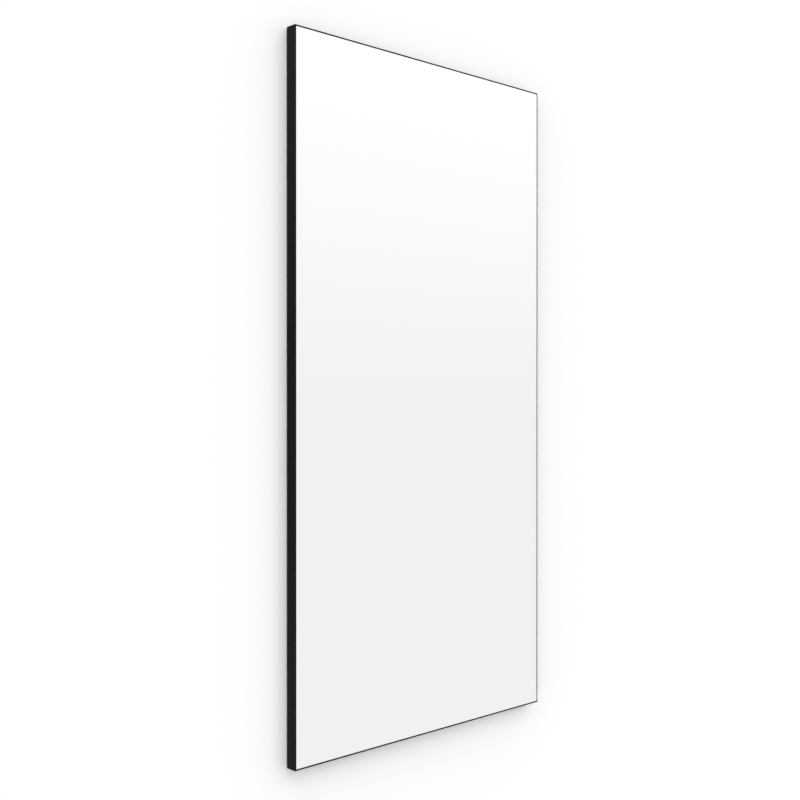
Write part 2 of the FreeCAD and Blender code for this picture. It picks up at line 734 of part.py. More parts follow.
def key_screw_spots(member):
    # The screw near each end of one member that holds it to its corner key.
    if member.endswith("stile"):
        return [(f"{a}(half_width - chamber_mid)", f"{b}(half_height - key_screw_out)")
                for a, b in member_ends[member]]
    return [(f"{a}(half_width - key_screw_out)", f"{b}(half_height - chamber_mid)")
            for a, b in member_ends[member]]


def on_all_members(spots):
    return [spot for member in member_ends for spot in spots(member)]


def frame_member(label, drawing, sign, half):
    body = new_body(label)
    pad(body, drawing, f"-half_{'height' if drawing == 'plan' else 'width'}",
        f"mirror_{'height' if drawing == 'plan' else 'width'}", loops=member_section(drawing, sign, half))
    mitre(body, drawing)
    pocket(body, "face", "shelf_at", "shelf_thick", centres=panel_screw_spots(label), radius="screw_radius")
    pocket(body, "face", "rear_at", "flange_thick", centres=key_screw_spots(label), radius="screw_radius")
    pocket(body, "face", "rear_at", "screw_head", centres=key_screw_spots(label),
           radius="screw_radius + screw_head", taper=-45)
    return body


def frame_members():
    frame_member("left_stile", "plan", "-", "half_width")
    frame_member("top_rail", "end", "", "half_height")
    frame_member("bottom_rail", "end", "-", "half_height")
    stile = frame_member("right_stile", "plan", "", "half_width")
    # The runners pass through these notches when the mirror is pulled out.
    middles = at_both_runners([("half_width - member_width / 2", "0")])
    notches = [centred(x, z, "(member_width + 2 * lip_thick)", "(2 * notch_half)") for x, z in middles]
    pocket(stile, "face", "0", "shelf_at", loops=notches)


def corner_keys():
    body = new_body("corner_keys")
    near, far = "(lip_thick + key_gap)", "(chamber_in - key_gap)"
    legs = [(near, near), ("key_leg", near), ("key_leg", far), (far, far), (far, "key_leg"),
            (near, "key_leg")]
    loops = [[(f"{a}(half_width - {x})", f"{b}(half_height - {z})") for x, z in legs]
             for a in ("", "-") for b in ("", "-")]
    pad(body, "face", "chamber_at", "shelf_at - chamber_at - key_gap", loops=loops)
    pocket(body, "face", "chamber_at", "key_screw_bite", centres=on_all_members(key_screw_spots),
           radius="screw_radius")


def corner_screws():
    body = new_body("corner_screws")
    spots = on_all_members(key_screw_spots)
    pad(body, "face", "rear_at", "screw_head", centres=spots, radius="screw_radius + screw_head", taper=-45)
    pad(body, "face", "rear_at + screw_head", "flange_thick + key_screw_bite - screw_head",
        centres=spots, radius="screw_radius")


def back_panel():
    body = new_body("back_panel")
    outline = rectangle("-panel_half_wide", "panel_half_wide", "-panel_half_tall", "panel_half_tall")
    pad(body, "face", "panel_at", "panel_thick", loops=[outline])
    screw_holes(body, on_all_members(panel_screw_spots), "screw_radius", "screw_head", "panel_at", "tape_at")
    screw_holes(body, all_block_screw_spots(), "block_screw_radius", "block_screw_head",
                "panel_at", "tape_at")


def tape_strips():
    strips = [centred(f"({step}) * tape_pitch", "0", "tape_width", "(2 * (glass_half_tall - tape_margin))")
              for step in (-2, -1, 0, 1, 2)]
    pad(new_body("tape_strips"), "face", "tape_at", "tape_thick", loops=strips)


def safety_film():
    outline = centred("0", "0", "(2 * (glass_half_wide - film_margin))",
                      "(2 * (glass_half_tall - film_margin))")
    pad(new_body("safety_film"), "face", "film_at", "film_thick", loops=[outline])


def mirror_glass():
    body = new_body("mirror_glass")
    outline = rectangle("-glass_half_wide", "glass_half_wide", "-glass_half_tall", "glass_half_tall")
    pane = pad(body, "face", "glass_at", "glass_thick", loops=[outline])
    document.recompute()
    front = min(range(len(pane.Shape.Faces)), key=lambda face: pane.Shape.Faces[face].CenterOfMass.y)
    arris = body.newObject("PartDesign::Chamfer", "mirror_glass_arris")
    arris.Base = (pane, [f"Face{front + 1}"])
    arris.setExpression("Size", named("glass_arris"))


def rear_glides():
    spots = [(f"{a}(half_width - member_width / 2)", f"{b}(half_height - glide_inset)")
             for a in ("", "-") for b in ("", "-")]
    pad(new_body("rear_glides"), "face", "rear_at - glide_thick", "glide_thick", centres=spots,
        radius="glide_radius")


def build():
    fill_sheets()
    both_sides("mounting_rail", mounting_rail)
    uprights()
    closing_buffers()
    both_sides("outer_runner", outer_runner)
    both_sides("middle_runner", middle_runner)
    both_sides("inner_runner", inner_runner)
    rivets("runner_rivets", at_both_runners(runner_rivet_spots()), "0", "plate_thick + sheet_thick")
    cages_and_balls()
    both_sides("pivot_bracket", pivot_bracket)
    bracket_rivets()
    pivot_rod()
    spring_pins()
    rings_on_rod()
    stop_collar()
    catch()
    both_sides("hinge_block", hinge_block)
    friction_clamp()
    clamp_screw()
    frame_members()
    corner_keys()
    corner_screws()
    back_panel()
    front_screws("panel_screws", on_all_members(panel_screw_spots), "screw_radius", "screw_head", "shelf_at")
    front_screws("block_screws", all_block_screw_spots(), "block_screw_radius", "block_screw_head",
                 "panel_at - block_screw_bite")
    tape_strips()
    safety_film()
    mirror_glass()
    rear_glides()
    document.recompute()


def check():
    for item in document.Objects:
        if {"Invalid", "Error"} & set(item.State):
            raise RuntimeError(f"{item.Label} did not build")
    for body in finished:
        if body.Shape.isNull() or not body.Shape.isValid():
            raise RuntimeError(f"{body.Label} has no sound shape")


def export():
    os.makedirs("parts", exist_ok=True)
    for body in finished:
        body.Shape.exportStep(f"parts/{body.Label}.step")
        print(body.Label, len(body.Shape.Solids), round(body.Shape.Volume, 1))


build()
check()
export()
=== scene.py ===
import json
import math

import bmesh
import bpy
from mathutils import Matrix, Vector, noise


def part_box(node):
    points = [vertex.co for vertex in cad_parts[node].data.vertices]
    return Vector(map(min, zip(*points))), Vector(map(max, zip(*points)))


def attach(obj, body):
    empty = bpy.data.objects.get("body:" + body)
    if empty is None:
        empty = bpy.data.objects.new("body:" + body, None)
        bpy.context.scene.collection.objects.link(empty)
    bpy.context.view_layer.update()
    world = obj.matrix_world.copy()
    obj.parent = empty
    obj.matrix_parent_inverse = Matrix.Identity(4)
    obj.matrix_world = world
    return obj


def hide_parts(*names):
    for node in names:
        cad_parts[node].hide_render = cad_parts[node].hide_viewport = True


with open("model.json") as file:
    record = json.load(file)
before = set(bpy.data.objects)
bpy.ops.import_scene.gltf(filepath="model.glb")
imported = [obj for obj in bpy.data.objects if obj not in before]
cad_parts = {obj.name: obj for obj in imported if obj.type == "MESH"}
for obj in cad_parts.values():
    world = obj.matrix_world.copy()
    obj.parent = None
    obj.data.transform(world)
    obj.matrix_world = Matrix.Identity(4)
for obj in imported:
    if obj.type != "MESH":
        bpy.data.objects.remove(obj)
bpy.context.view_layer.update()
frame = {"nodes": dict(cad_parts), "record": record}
nodes = frame["nodes"]
bodyOf = {node: body for body, members in frame["record"]["behaviour"]["bodies"].items() for node in members}
slotOf = {part["node"]: part["material_slot"] for part in frame["record"]["subparts"]}
mm = 0.001
print("frame loaded:", len(nodes), "nodes")


# Shader helpers

def addNode(tree, kind, inputs=None, **settings):
    # Adds a node, sets its options, and gives each named input a value or a link.
    node = tree.nodes.new("ShaderNode" + kind)
    for key, value in settings.items():
        setattr(node, key, value)
    for key, value in (inputs or {}).items():
        if isinstance(value, bpy.types.NodeSocket):
            tree.links.new(value, node.inputs[key])
        else:
            node.inputs[key].default_value = value
    return node


def mixColours(tree, factor, first, second):
    # The Mix node's colour sockets stand at 0, 6 and 7, and its colour comes out at 2.
    return addNode(tree, "Mix", {0: factor, 6: first, 7: second}, data_type="RGBA").outputs[2]


def spread(tree, value, low, high, fromLow=0.0, fromHigh=1.0):
    # Brings a value from one range to another, and holds it at the ends.
    inputs = {"Value": value, "From Min": fromLow, "From Max": fromHigh, "To Min": low, "To Max": high}
    return addNode(tree, "MapRange", inputs).outputs["Result"]


def newGroup(name, inputs, outputs):
    # A node group with named sockets; gives back the group, its given values and where its results go.
    group = bpy.data.node_groups.new(name, "ShaderNodeTree")
    for label, kind, start in inputs:
        socket = group.interface.new_socket(label, in_out="INPUT", socket_type="NodeSocket" + kind)
        socket.default_value = start
    for label, kind in outputs:
        group.interface.new_socket(label, in_out="OUTPUT", socket_type="NodeSocket" + kind)
    return group, group.nodes.new("NodeGroupInput").outputs, group.nodes.new("NodeGroupOutput").inputs


def useGroup(tree, group, **inputs):
    # Places a shared effect with a material's own values.
    node = tree.nodes.new("ShaderNodeGroup")
    node.node_tree = group
    for key, value in inputs.items():
        node.inputs[key].default_value = value
    return node.outputs


def makeGrain():
    # Noise on the piece itself, stretched where the finish runs one way.
    group, given, result = newGroup("grain", [("Scale", "Float", 400.0), ("Stretch", "Vector", (1, 1, 1)),
                                              ("Detail", "Float", 4.0), ("Contrast", "Float", 1.5)],
                                    [("Value", "Float")])
    place = addNode(group, "TexCoord").outputs["Object"]
    stretched = addNode(group, "VectorMath", {0: place, 1: given["Stretch"]}, operation="MULTIPLY").outputs[0]
    pattern = addNode(group, "TexNoise", {"Vector": stretched, "Scale": given["Scale"],
                                          "Detail": given["Detail"]}).outputs["Fac"]
    centred = addNode(group, "Math", {0: pattern, 1: 0.5}, operation="SUBTRACT").outputs[0]
    scaled = addNode(group, "Math", {0: centred, 1: given["Contrast"], 2: 0.5}, operation="MULTIPLY_ADD",
                     use_clamp=True)
    group.links.new(scaled.outputs[0], result["Value"])
    return group


def makeEdgeRub():
    # White where an edge is rubbed: the rounded normal leans away from the flat one there.
    rub = {"lean": (0.995, 0.86), "patches": (0.38, 0.62), "detail": 5.0}
    group, given, result = newGroup("edgeRub", [("Radius", "Float", 0.0006), ("Amount", "Float", 1.0),
                                                ("Breakup", "Float", 300.0)], [("Mask", "Float")])
    rounded = addNode(group, "Bevel", {"Radius": given["Radius"]}).outputs[0]
    flat = addNode(group, "NewGeometry").outputs["Normal"]
    lean = addNode(group, "VectorMath", {0: rounded, 1: flat}, operation="DOT_PRODUCT").outputs["Value"]
    edge = spread(group, lean, 0.0, 1.0, *rub["lean"])
    place = addNode(group, "TexCoord").outputs["Object"]
    broken = addNode(group, "TexNoise", {"Vector": place, "Scale": given["Breakup"],
                                         "Detail": rub["detail"]}).outputs["Fac"]
    patchy = spread(group, broken, 0.0, 1.0, *rub["patches"])
    worn = addNode(group, "Math", {0: edge, 1: patchy}, operation="MULTIPLY").outputs[0]
    mask = addNode(group, "Math", {0: worn, 1: given["Amount"]}, operation="MULTIPLY", use_clamp=True)
    group.links.new(mask.outputs[0], result["Mask"])
    return group


def makeScratches():
    # Fine hairlines that wander a little, in two directions, kept only where a slower noise lets them show.
    hair = {"drift": 9.0, "wander": (-0.9, 0.9), "driftFrom": (0.25, 0.75), "leans": (0.25, 1.9),
            "stretch": (1, 30, 30), "thin": (0.7, 0.74), "patches": 21.0, "shown": (0.5, 0.62)}
    group, given, result = newGroup("scratches", [("Scale", "Float", 60.0), ("Amount", "Float", 0.5)],
                                    [("Mask", "Float")])
    place = addNode(group, "TexCoord").outputs["Object"]
    drift = addNode(group, "TexNoise", {"Vector": place, "Scale": hair["drift"], "Detail": 1.0})
    angle = spread(group, drift.outputs["Fac"], *hair["wander"], *hair["driftFrom"])
    patches = addNode(group, "TexNoise", {"Vector": place, "Scale": hair["patches"], "Detail": 2.0})
    shown = spread(group, patches.outputs["Fac"], 0.0, 1.0, *hair["shown"])
    lines = []
    for lean in hair["leans"]:
        turned = addNode(group, "Math", {0: angle, 1: lean}, operation="ADD").outputs[0]
        swung = addNode(group, "VectorRotate", {"Vector": place, "Axis": (0, 1, 0), "Angle": turned})
        drawn = addNode(group, "VectorMath", {0: swung.outputs[0], 1: hair["stretch"]}, operation="MULTIPLY")
        streaks = addNode(group, "TexNoise", {"Vector": drawn.outputs[0], "Scale": given["Scale"],
                                              "Detail": 1.0})
        lines.append(spread(group, streaks.outputs["Fac"], 0.0, 1.0, *hair["thin"]))
    both = addNode(group, "Math", {0: lines[0], 1: lines[1]}, operation="MAXIMUM").outputs[0]
    kept = addNode(group, "Math", {0: both, 1: shown}, operation="MULTIPLY").outputs[0]
    mask = addNode(group, "Math", {0: kept, 1: given["Amount"]}, operation="MULTIPLY", use_clamp=True)
    group.links.new(mask.outputs[0], result["Mask"])
    return group


grain = makeGrain()
edgeRub = makeEdgeRub()
scratches = makeScratches()
materials = {}


def startMaterial(slot, **uniform):
    # A material named for its slot; what is the same all over is set on the shader's own sockets.
    material = bpy.data.materials.new(slot)
    material.use_nodes = True
    shader = material.node_tree.nodes["Principled BSDF"]
    for socket, value in uniform.items():
        shader.inputs[socket.replace("_", " ").title().replace("Ior", "IOR")].default_value = value
    materials[slot] = material
    return material.node_tree, shader


def setBump(tree, shader, height, strength, distance):
    bump = addNode(tree, "Bump", {"Height": height, "Strength": strength, "Distance": distance})
    tree.links.new(bump.outputs["Normal"], shader.inputs["Normal"])


def wire(tree, shader, socket, value):
    tree.links.new(value, shader.inputs[socket])


# Finishes

def makeBlackFrame():
    # Satin black coat with a fine tooth, a little lighter where hands rub its edges.
    look = {"black": (0.0007, 0.0007, 0.0007, 1), "faded": (0.0013, 0.0013, 0.0013, 1),
            "rubbed": (0.014, 0.014, 0.0145, 1), "rough": (0.22, 0.32)}
    tree, shader = startMaterial("black_frame", specular_ior_level=0.13)
    tooth = useGroup(tree, grain, Scale=2600.0, Detail=2.0, Contrast=2.0)["Value"]
    cloud = useGroup(tree, grain, Scale=9.0, Detail=3.0, Contrast=2.0)["Value"]
    rub = useGroup(tree, edgeRub, Radius=0.0004, Amount=0.2, Breakup=120.0)["Mask"]
    coat = mixColours(tree, cloud, look["black"], look["faded"])
    wire(tree, shader, "Base Color", mixColours(tree, rub, coat, look["rubbed"]))
    wire(tree, shader, "Roughness", spread(tree, tooth, *look["rough"]))
    setBump(tree, shader, tooth, strength=0.12, distance=0.04 * mm)


def makeSilveredGlass():
    # Silver over the whole face; the ground edge shows green glass, and the back is painted.
    look = {"silver": (0.99, 0.99, 0.99, 1), "edge": (0.012, 0.034, 0.027, 1),
            "edgeLight": (0.03, 0.075, 0.06, 1), "paint": (0.2, 0.215, 0.205, 1), "skin": 0.05 * mm,
            "matt": (0.25, 0.45), "clear": (0.0, 0.006)}
    low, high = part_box("mirror_glass")
    tree, shader = startMaterial("silvered_glass")
    place = addNode(tree, "TexCoord").outputs["Object"]
    depth = addNode(tree, "SeparateXYZ", {"Vector": place}).outputs["Y"]
    face = addNode(tree, "Math", {0: depth, 1: low.y + look["skin"]}, operation="LESS_THAN").outputs[0]
    back = addNode(tree, "Math", {0: depth, 1: high.y - look["skin"]}, operation="GREATER_THAN").outputs[0]
    haze = useGroup(tree, grain, Scale=5.0, Detail=4.0, Contrast=1.2)["Value"]
    ground = useGroup(tree, grain, Scale=900.0, Detail=3.0, Contrast=1.6)["Value"]
    edge = mixColours(tree, ground, look["edge"], look["edgeLight"])
    painted = mixColours(tree, back, edge, look["paint"])
    wire(tree, shader, "Base Color", mixColours(tree, face, painted, look["silver"]))
    wire(tree, shader, "Metallic", face)
    matt = spread(tree, ground, *look["matt"])
    clear = spread(tree, haze, *look["clear"])
    wire(tree, shader, "Roughness", addNode(tree, "Mix", {0: face, 2: matt, 3: clear}).outputs[0])


def makePanel():
    # Dark laminate with a fine leather-like tooth and faint handling marks.
    look = {"dark": (0.021, 0.022, 0.024, 1), "light": (0.032, 0.033, 0.036, 1),
            "mark": (0.075, 0.076, 0.08, 1), "rough": (0.48, 0.72)}
    tree, shader = startMaterial("composite_panel", specular_ior_level=0.4)
    tooth = useGroup(tree, grain, Scale=1100.0, Detail=6.0, Contrast=2.2)["Value"]
    cloud = useGroup(tree, grain, Scale=14.0, Detail=5.0, Contrast=1.6)["Value"]
    marks = useGroup(tree, scratches, Scale=34.0, Amount=0.3)["Mask"]
    base = mixColours(tree, cloud, look["dark"], look["light"])
    wire(tree, shader, "Base Color", mixColours(tree, marks, base, look["mark"]))
    wire(tree, shader, "Roughness", spread(tree, tooth, *look["rough"]))
    setBump(tree, shader, tooth, strength=0.3, distance=0.08 * mm)


def makeFilm():
    # Woven safety film: two crossing sets of threads.
    look = {"gap": (0.11, 0.13, 0.16, 1), "thread": (0.2, 0.23, 0.27, 1), "threads": 260.0}
    tree, shader = startMaterial("safety_film", roughness=0.5)
    place = addNode(tree, "TexCoord").outputs["Object"]
    waves = {"Vector": place, "Scale": look["threads"]}
    across = addNode(tree, "TexWave", waves, bands_direction="X").outputs["Fac"]
    along = addNode(tree, "TexWave", waves, bands_direction="Z").outputs["Fac"]
    weave = addNode(tree, "Math", {0: across, 1: along}, operation="MULTIPLY").outputs[0]
    wire(tree, shader, "Base Color", mixColours(tree, weave, look["gap"], look["thread"]))
    setBump(tree, shader, weave, strength=0.4, distance=0.05 * mm)


def makeFoam():
    # White foam: the distance from the middle of a pore lightens, roughens and raises it; the darker middle
    # of each pore is painted shade in its hollow.
    look = {"pore": (0.62, 0.61, 0.57, 1), "wall": (0.86, 0.86, 0.83, 1), "pores": 1400.0,
            "rough": (0.6, 0.9)}
    tree, shader = startMaterial("foam_tape", subsurface_weight=0.1, subsurface_scale=0.001)
    place = addNode(tree, "TexCoord").outputs["Object"]
    pores = addNode(tree, "TexVoronoi", {"Vector": place, "Scale": look["pores"]}).outputs["Distance"]
    # The darker pore colour is painted shade, laid in the hollow of each pore.
    wire(tree, shader, "Base Color", mixColours(tree, pores, look["pore"], look["wall"]))
    wire(tree, shader, "Roughness", spread(tree, pores, *look["rough"]))
    setBump(tree, shader, pores, strength=0.5, distance=0.1 * mm)


def makeMetal(slot, dark, light, rough, stretch=(1, 1, 1), fine=900.0, rub=None, bump=0.1, marks=0.0):
    # Shared by the metals: cloudy colour, drawn or cast grain, handling marks and rubbed edges.
    markShine = 1.35  # how much lighter a hairline is than the metal
    tree, shader = startMaterial(slot, metallic=1.0)
    cloud = useGroup(tree, grain, Scale=26.0, Detail=5.0, Contrast=2.0)["Value"]
    tooth = useGroup(tree, grain, Scale=fine, Stretch=stretch, Detail=4.0, Contrast=2.0)["Value"]
    colour = mixColours(tree, cloud, dark, light)
    if marks:
        scored = useGroup(tree, scratches, Scale=45.0, Amount=marks)["Mask"]
        bright = [min(1.0, markShine * part) for part in light[:3]]
        colour = mixColours(tree, scored, colour, (*bright, 1))
    if rub:
        edge = useGroup(tree, edgeRub, Radius=0.0004, Amount=0.7, Breakup=260.0)["Mask"]
        colour = mixColours(tree, edge, colour, rub)
    wire(tree, shader, "Base Color", colour)
    mixed = addNode(tree, "Math", {0: cloud, 1: 0.5, 2: tooth}, operation="MULTIPLY_ADD").outputs[0]
    wire(tree, shader, "Roughness", spread(tree, mixed, *rough, fromHigh=1.5))
    setBump(tree, shader, tooth, strength=bump, distance=0.05 * mm)


def makePlastic(slot, dark, light, rough, sheen=0.0, fine=700.0, bump=0.15, level=0.5):
    # Shared by nylon, rubber and felt: a faint cloud in the colour and a fine tooth.
    tree, shader = startMaterial(slot, sheen_weight=sheen, specular_ior_level=level)
    cloud = useGroup(tree, grain, Scale=60.0, Detail=4.0, Contrast=1.8)["Value"]
    tooth = useGroup(tree, grain, Scale=fine, Detail=5.0, Contrast=2.0)["Value"]
    wire(tree, shader, "Base Color", mixColours(tree, cloud, dark, light))
    wire(tree, shader, "Roughness", spread(tree, tooth, *rough))
    setBump(tree, shader, tooth, strength=bump, distance=0.1 * mm)


def makeFinishes():
    metals = {
        "die_cast": {"dark": (0.3, 0.3, 0.305, 1), "light": (0.42, 0.42, 0.43, 1), "rough": (0.38, 0.6),
                     "fine": 700.0, "bump": 0.35},
        "zinc_steel": {"dark": (0.6, 0.615, 0.64, 1), "light": (0.685, 0.69, 0.695, 1), "rough": (0.24, 0.4),
                       "stretch": (0.04, 1, 1), "marks": 0.3},
        "bracket_steel": {"dark": (0.035, 0.036, 0.04, 1), "light": (0.07, 0.07, 0.074, 1),
                          "rough": (0.3, 0.5), "rub": (0.35, 0.35, 0.36, 1)},
        "turned_steel": {"dark": (0.6, 0.6, 0.61, 1), "light": (0.74, 0.74, 0.74, 1), "rough": (0.14, 0.28),
                         "stretch": (1, 1, 6), "marks": 0.2},
        "fasteners": {"dark": (0.55, 0.57, 0.6, 1), "light": (0.72, 0.71, 0.66, 1), "rough": (0.2, 0.4),
                      "rub": (0.85, 0.85, 0.85, 1)},
        "bearing_balls": {"dark": (0.72, 0.72, 0.74, 1), "light": (0.82, 0.82, 0.83, 1),
                          "rough": (0.04, 0.12), "bump": 0.02},
        "cage_steel": {"dark": (0.42, 0.4, 0.36, 1), "light": (0.58, 0.56, 0.5, 1), "rough": (0.24, 0.45),
                       "stretch": (0.05, 1, 1)},
        "magnet": {"dark": (0.6, 0.6, 0.6, 1), "light": (0.72, 0.71, 0.69, 1), "rough": (0.12, 0.24),
                   "rub": (0.3, 0.29, 0.28, 1)},
    }
    plastics = {
        "nylon": {"dark": (0.72, 0.7, 0.62, 1), "light": (0.82, 0.81, 0.75, 1), "rough": (0.35, 0.5)},
        "buffer_rubber": {"dark": (0.012, 0.012, 0.012, 1), "light": (0.022, 0.022, 0.021, 1),
                          "rough": (0.6, 0.85), "level": 0.3},
        "felt": {"dark": (0.03, 0.03, 0.031, 1), "light": (0.075, 0.075, 0.076, 1), "rough": (0.85, 1.0),
                 "sheen": 0.5, "fine": 3500.0, "bump": 0.8},
    }
    makeBlackFrame()
    makeSilveredGlass()
    makePanel()
    makeFilm()
    makeFoam()
    for slot, look in metals.items():
        makeMetal(slot, **look)
    for slot, look in plastics.items():
        makePlastic(slot, **look)


makeFinishes()
print("finishes made:", len(materials))


# Mesh helpers

def weldedMesh(node):
    # The node's own faces, joined up again and with the flat ones merged.
    weld = {"gap": 0.001 * mm, "flat": 0.5}
    mesh = bmesh.new()
    mesh.from_mesh(nodes[node].data)
    bmesh.ops.remove_doubles(mesh, verts=mesh.verts, dist=weld["gap"])
    bmesh.ops.dissolve_limit(mesh, angle_limit=math.radians(weld["flat"]), verts=mesh.verts, edges=mesh.edges)
    return mesh


def islands(mesh):
    # The separate solids of a mesh, each as its list of vertices.
    left, found = set(mesh.verts), []
    while left:
        seed = left.pop()
        group, ahead = [seed], [seed]
        while ahead:
            for edge in ahead.pop().link_edges:
                for vert in edge.verts:
                    if vert in left:
                        left.discard(vert)
                        group.append(vert)
                        ahead.append(vert)
        found.append(group)
    return found


def boxOf(verts):
    # The lowest and the highest corner.
    low = Vector([min(vert.co[axis] for vert in verts) for axis in range(3)])
    high = Vector([max(vert.co[axis] for vert in verts) for axis in range(3)])
    return low, high


def solidBoxes(node):
    # The box of each solid of a node, from left to right.
    mesh = weldedMesh(node)
    boxes = sorted([boxOf(group) for group in islands(mesh)], key=lambda box: tuple(box[0]))
    mesh.free()
    return boxes


def camel(node):
    # left_stile becomes leftStile.
    first, *rest = node.split("_")
    return first + "".join(word.capitalize() for word in rest)


def putInOrder(mesh):
    # Spinning and merging leave the vertices and faces in an order that changes from run to run.
    for index, vert in enumerate(sorted(mesh.verts, key=lambda vert: tuple(vert.co))):
        vert.index = index
    mesh.verts.sort()
    for index, face in enumerate(sorted(mesh.faces, key=lambda face: tuple(face.calc_center_median()))):
        face.index = index
    mesh.faces.sort()


def makePiece(mesh, node, edge=0.0, segments=2, smoothAngle=35):
    # Turns a finished bmesh into a piece that stands for a node and rides with its body.
    bmesh.ops.recalc_face_normals(mesh, faces=mesh.faces)
    putInOrder(mesh)
    data = bpy.data.meshes.new(camel(node))
    mesh.to_mesh(data)
    mesh.free()
    for face in data.polygons:
        face.use_smooth = True
    data.set_sharp_from_angle(angle=math.radians(smoothAngle))
    piece = bpy.data.objects.new(camel(node), data)
    bpy.context.scene.collection.objects.link(piece)
    piece.data.materials.append(materials[slotOf[node]])
    if edge:
        rounding = piece.modifiers.new("edges", "BEVEL")
        rounding.width = edge * mm
        rounding.segments = segments
        rounding.limit_method = "ANGLE"
        rounding.angle_limit = math.radians(40)  # leaves the steps of a curve alone
        rounding.harden_normals = True
    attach(piece, bodyOf[node])
    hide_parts(node)


def placeAlong(centre, direction):
    # Turns local Z to the direction, and moves the origin to the centre.
    turned = Vector((0, 0, 1)).rotation_difference(direction).to_matrix().to_4x4()
    return Matrix.Translation(centre) @ turned


def lathe(mesh, profile, centre, direction, steps=32):
    # Spins (radius, height) points round a line through the centre; heights grow along the direction.
    place = placeAlong(centre, direction)
    verts = [mesh.verts.new(place @ Vector((radius, 0, height))) for radius, height in profile]
    edges = [mesh.edges.new(pair) for pair in zip(verts, verts[1:])]
    bmesh.ops.spin(mesh, geom=verts + edges, cent=centre, axis=direction, angle=math.radians(360),
                   steps=steps, use_merge=True)
    # The points on the line come together again.
    bmesh.ops.remove_doubles(mesh, verts=mesh.verts, dist=0.002 * mm)


def dressNode(node):
    # The CAD's own mesh, in its finish.
    nodes[node].data.materials.clear()
    nodes[node].data.materials.append(materials[slotOf[node]])


# Pieces

def makeRoundedCopies():
    # Nodes whose CAD shape is right and that only want their edges broken; widths in millimetres.
    edges = {"left_stile": 0.12, "right_stile": 0.12, "top_rail": 0.12, "bottom_rail": 0.12,
             "back_panel": 0.15, "front_upright": 0.2, "rear_upright": 0.2, "upper_pivot_bracket": 0.25,
             "lower_pivot_bracket": 0.25, "pivot_rod": 0.4, "thrust_washers": 0.12, "pivot_bushes": 0.15,
             "friction_sleeve": 0.15, "stop_collar": 0.25, "catch_magnets": 0.2, "clamp_screw": 0.2,
             "corner_keys": 0.3, "closing_buffers": 0.7, "tape_strips": 0.15, "upper_mounting_rail": 0.2,
             "lower_mounting_rail": 0.2, "upper_hinge_block": 0.45, "lower_hinge_block": 0.45,
             "friction_clamp": 0.45}
    for node, edge in edges.items():
        makePiece(weldedMesh(node), node, edge, segments=3)


def makeStripPieces():
    # Thin rolled strip, sheared to length, so its edges are only just broken.
    strip = {"edge": 0.08}
    for label in ("outer_runner", "middle_runner", "inner_runner", "outer_cage", "inner_cage"):
        for level in ("upper", "lower"):
            node = f"{level}_{label}"
            makePiece(weldedMesh(node), node, strip["edge"], segments=1)
    makePiece(weldedMesh("strike_plates"), "strike_plates", strip["edge"])


def addScrew(mesh, tip, length, direction, shape):
    # A countersunk screw with its thread as rings; the direction points out of its head.
    rim = {"inset": 0.04 * mm, "low": 0.1 * mm, "high": 0.03 * mm, "round": 0.12 * mm, "step": 0.05 * mm}
    thread, pitch = shape["shank"], shape["pitch"]
    head, sink = shape["head"], shape["sink"]
    root = 0.8 * thread
    profile = [(0, 0), (0.35 * thread, 0.15 * thread), (root, thread)]  # a blunt point
    for turn in range(int((length - sink - thread) / pitch)):
        base = thread + turn * pitch
        profile += [(root, base + 0.3 * pitch), (thread, base + 0.5 * pitch), (root, base + 0.7 * pitch)]
    profile += [(root, length - sink - rim["step"]), (thread, length - sink),
                (head - rim["inset"], length - rim["low"]), (head - rim["inset"], length - rim["high"]),
                (head - rim["round"], length)]
    lathe(mesh, profile, tip, direction, steps=24)
    addRecess(mesh, placeAlong(tip + direction * length, direction), shape)


def addRecess(mesh, place, shape):
    # Closes the screw's open top with a cross recess that narrows to half its size at the bottom.
    inward = place.inverted()
    rim = [vert for vert in mesh.verts if vert.is_boundary]
    rim.sort(key=lambda vert: math.atan2(*(inward @ vert.co).yx) % (2 * math.pi))
    arm, slot, deep = shape["arm"], shape["slot"], shape["deep"]
    corners = []
    for quarter in range(4):
        spin = Matrix.Rotation(math.radians(90 * quarter), 4, "Z")
        corners += [spin @ Vector(point) for point in ((slot, slot, 0), (slot, arm, 0), (-slot, arm, 0))]
    top = [mesh.verts.new(place @ corner) for corner in corners]
    bottom = [mesh.verts.new(place @ Vector((corner.x / 2, corner.y / 2, -deep))) for corner in corners]
    count = len(corners)
    for step in range(count):
        following = (step + 1) % count
        mesh.faces.new((top[step], top[following], bottom[following], bottom[step]))
        # The rim's points stand 15 degrees apart, and each side of the cross meets two of its steps.
        first = 3 + 2 * step
        around = [rim[(first + more) % len(rim)] for more in range(3)]
        mesh.faces.new((top[following], top[step], *around))
    mesh.faces.new(bottom)


def makeScrews():
    # Machine screws: radii, half widths and depths.
    small = {"shank": 1.5 * mm, "pitch": 0.6 * mm, "head": 2.6 * mm, "sink": 1.1 * mm, "arm": 1.35 * mm,
             "slot": 0.3 * mm, "deep": 1.0 * mm}
    large = {"shank": 2.0 * mm, "pitch": 0.8 * mm, "head": 3.8 * mm, "sink": 1.8 * mm, "arm": 1.9 * mm,
             "slot": 0.4 * mm, "deep": 1.5 * mm}
    toWall, toRoom = Vector((0, 1, 0)), Vector((0, -1, 0))
    for node, shape, direction in (("corner_screws", small, toWall), ("panel_screws", small, toRoom),
                                   ("block_screws", large, toRoom)):
        mesh = bmesh.new()
        for low, high in solidBoxes(node):
            length = high.y - low.y
            addScrew(mesh, (low + high) / 2 - direction * length / 2, length, direction, shape)
        makePiece(mesh, node, smoothAngle=30)


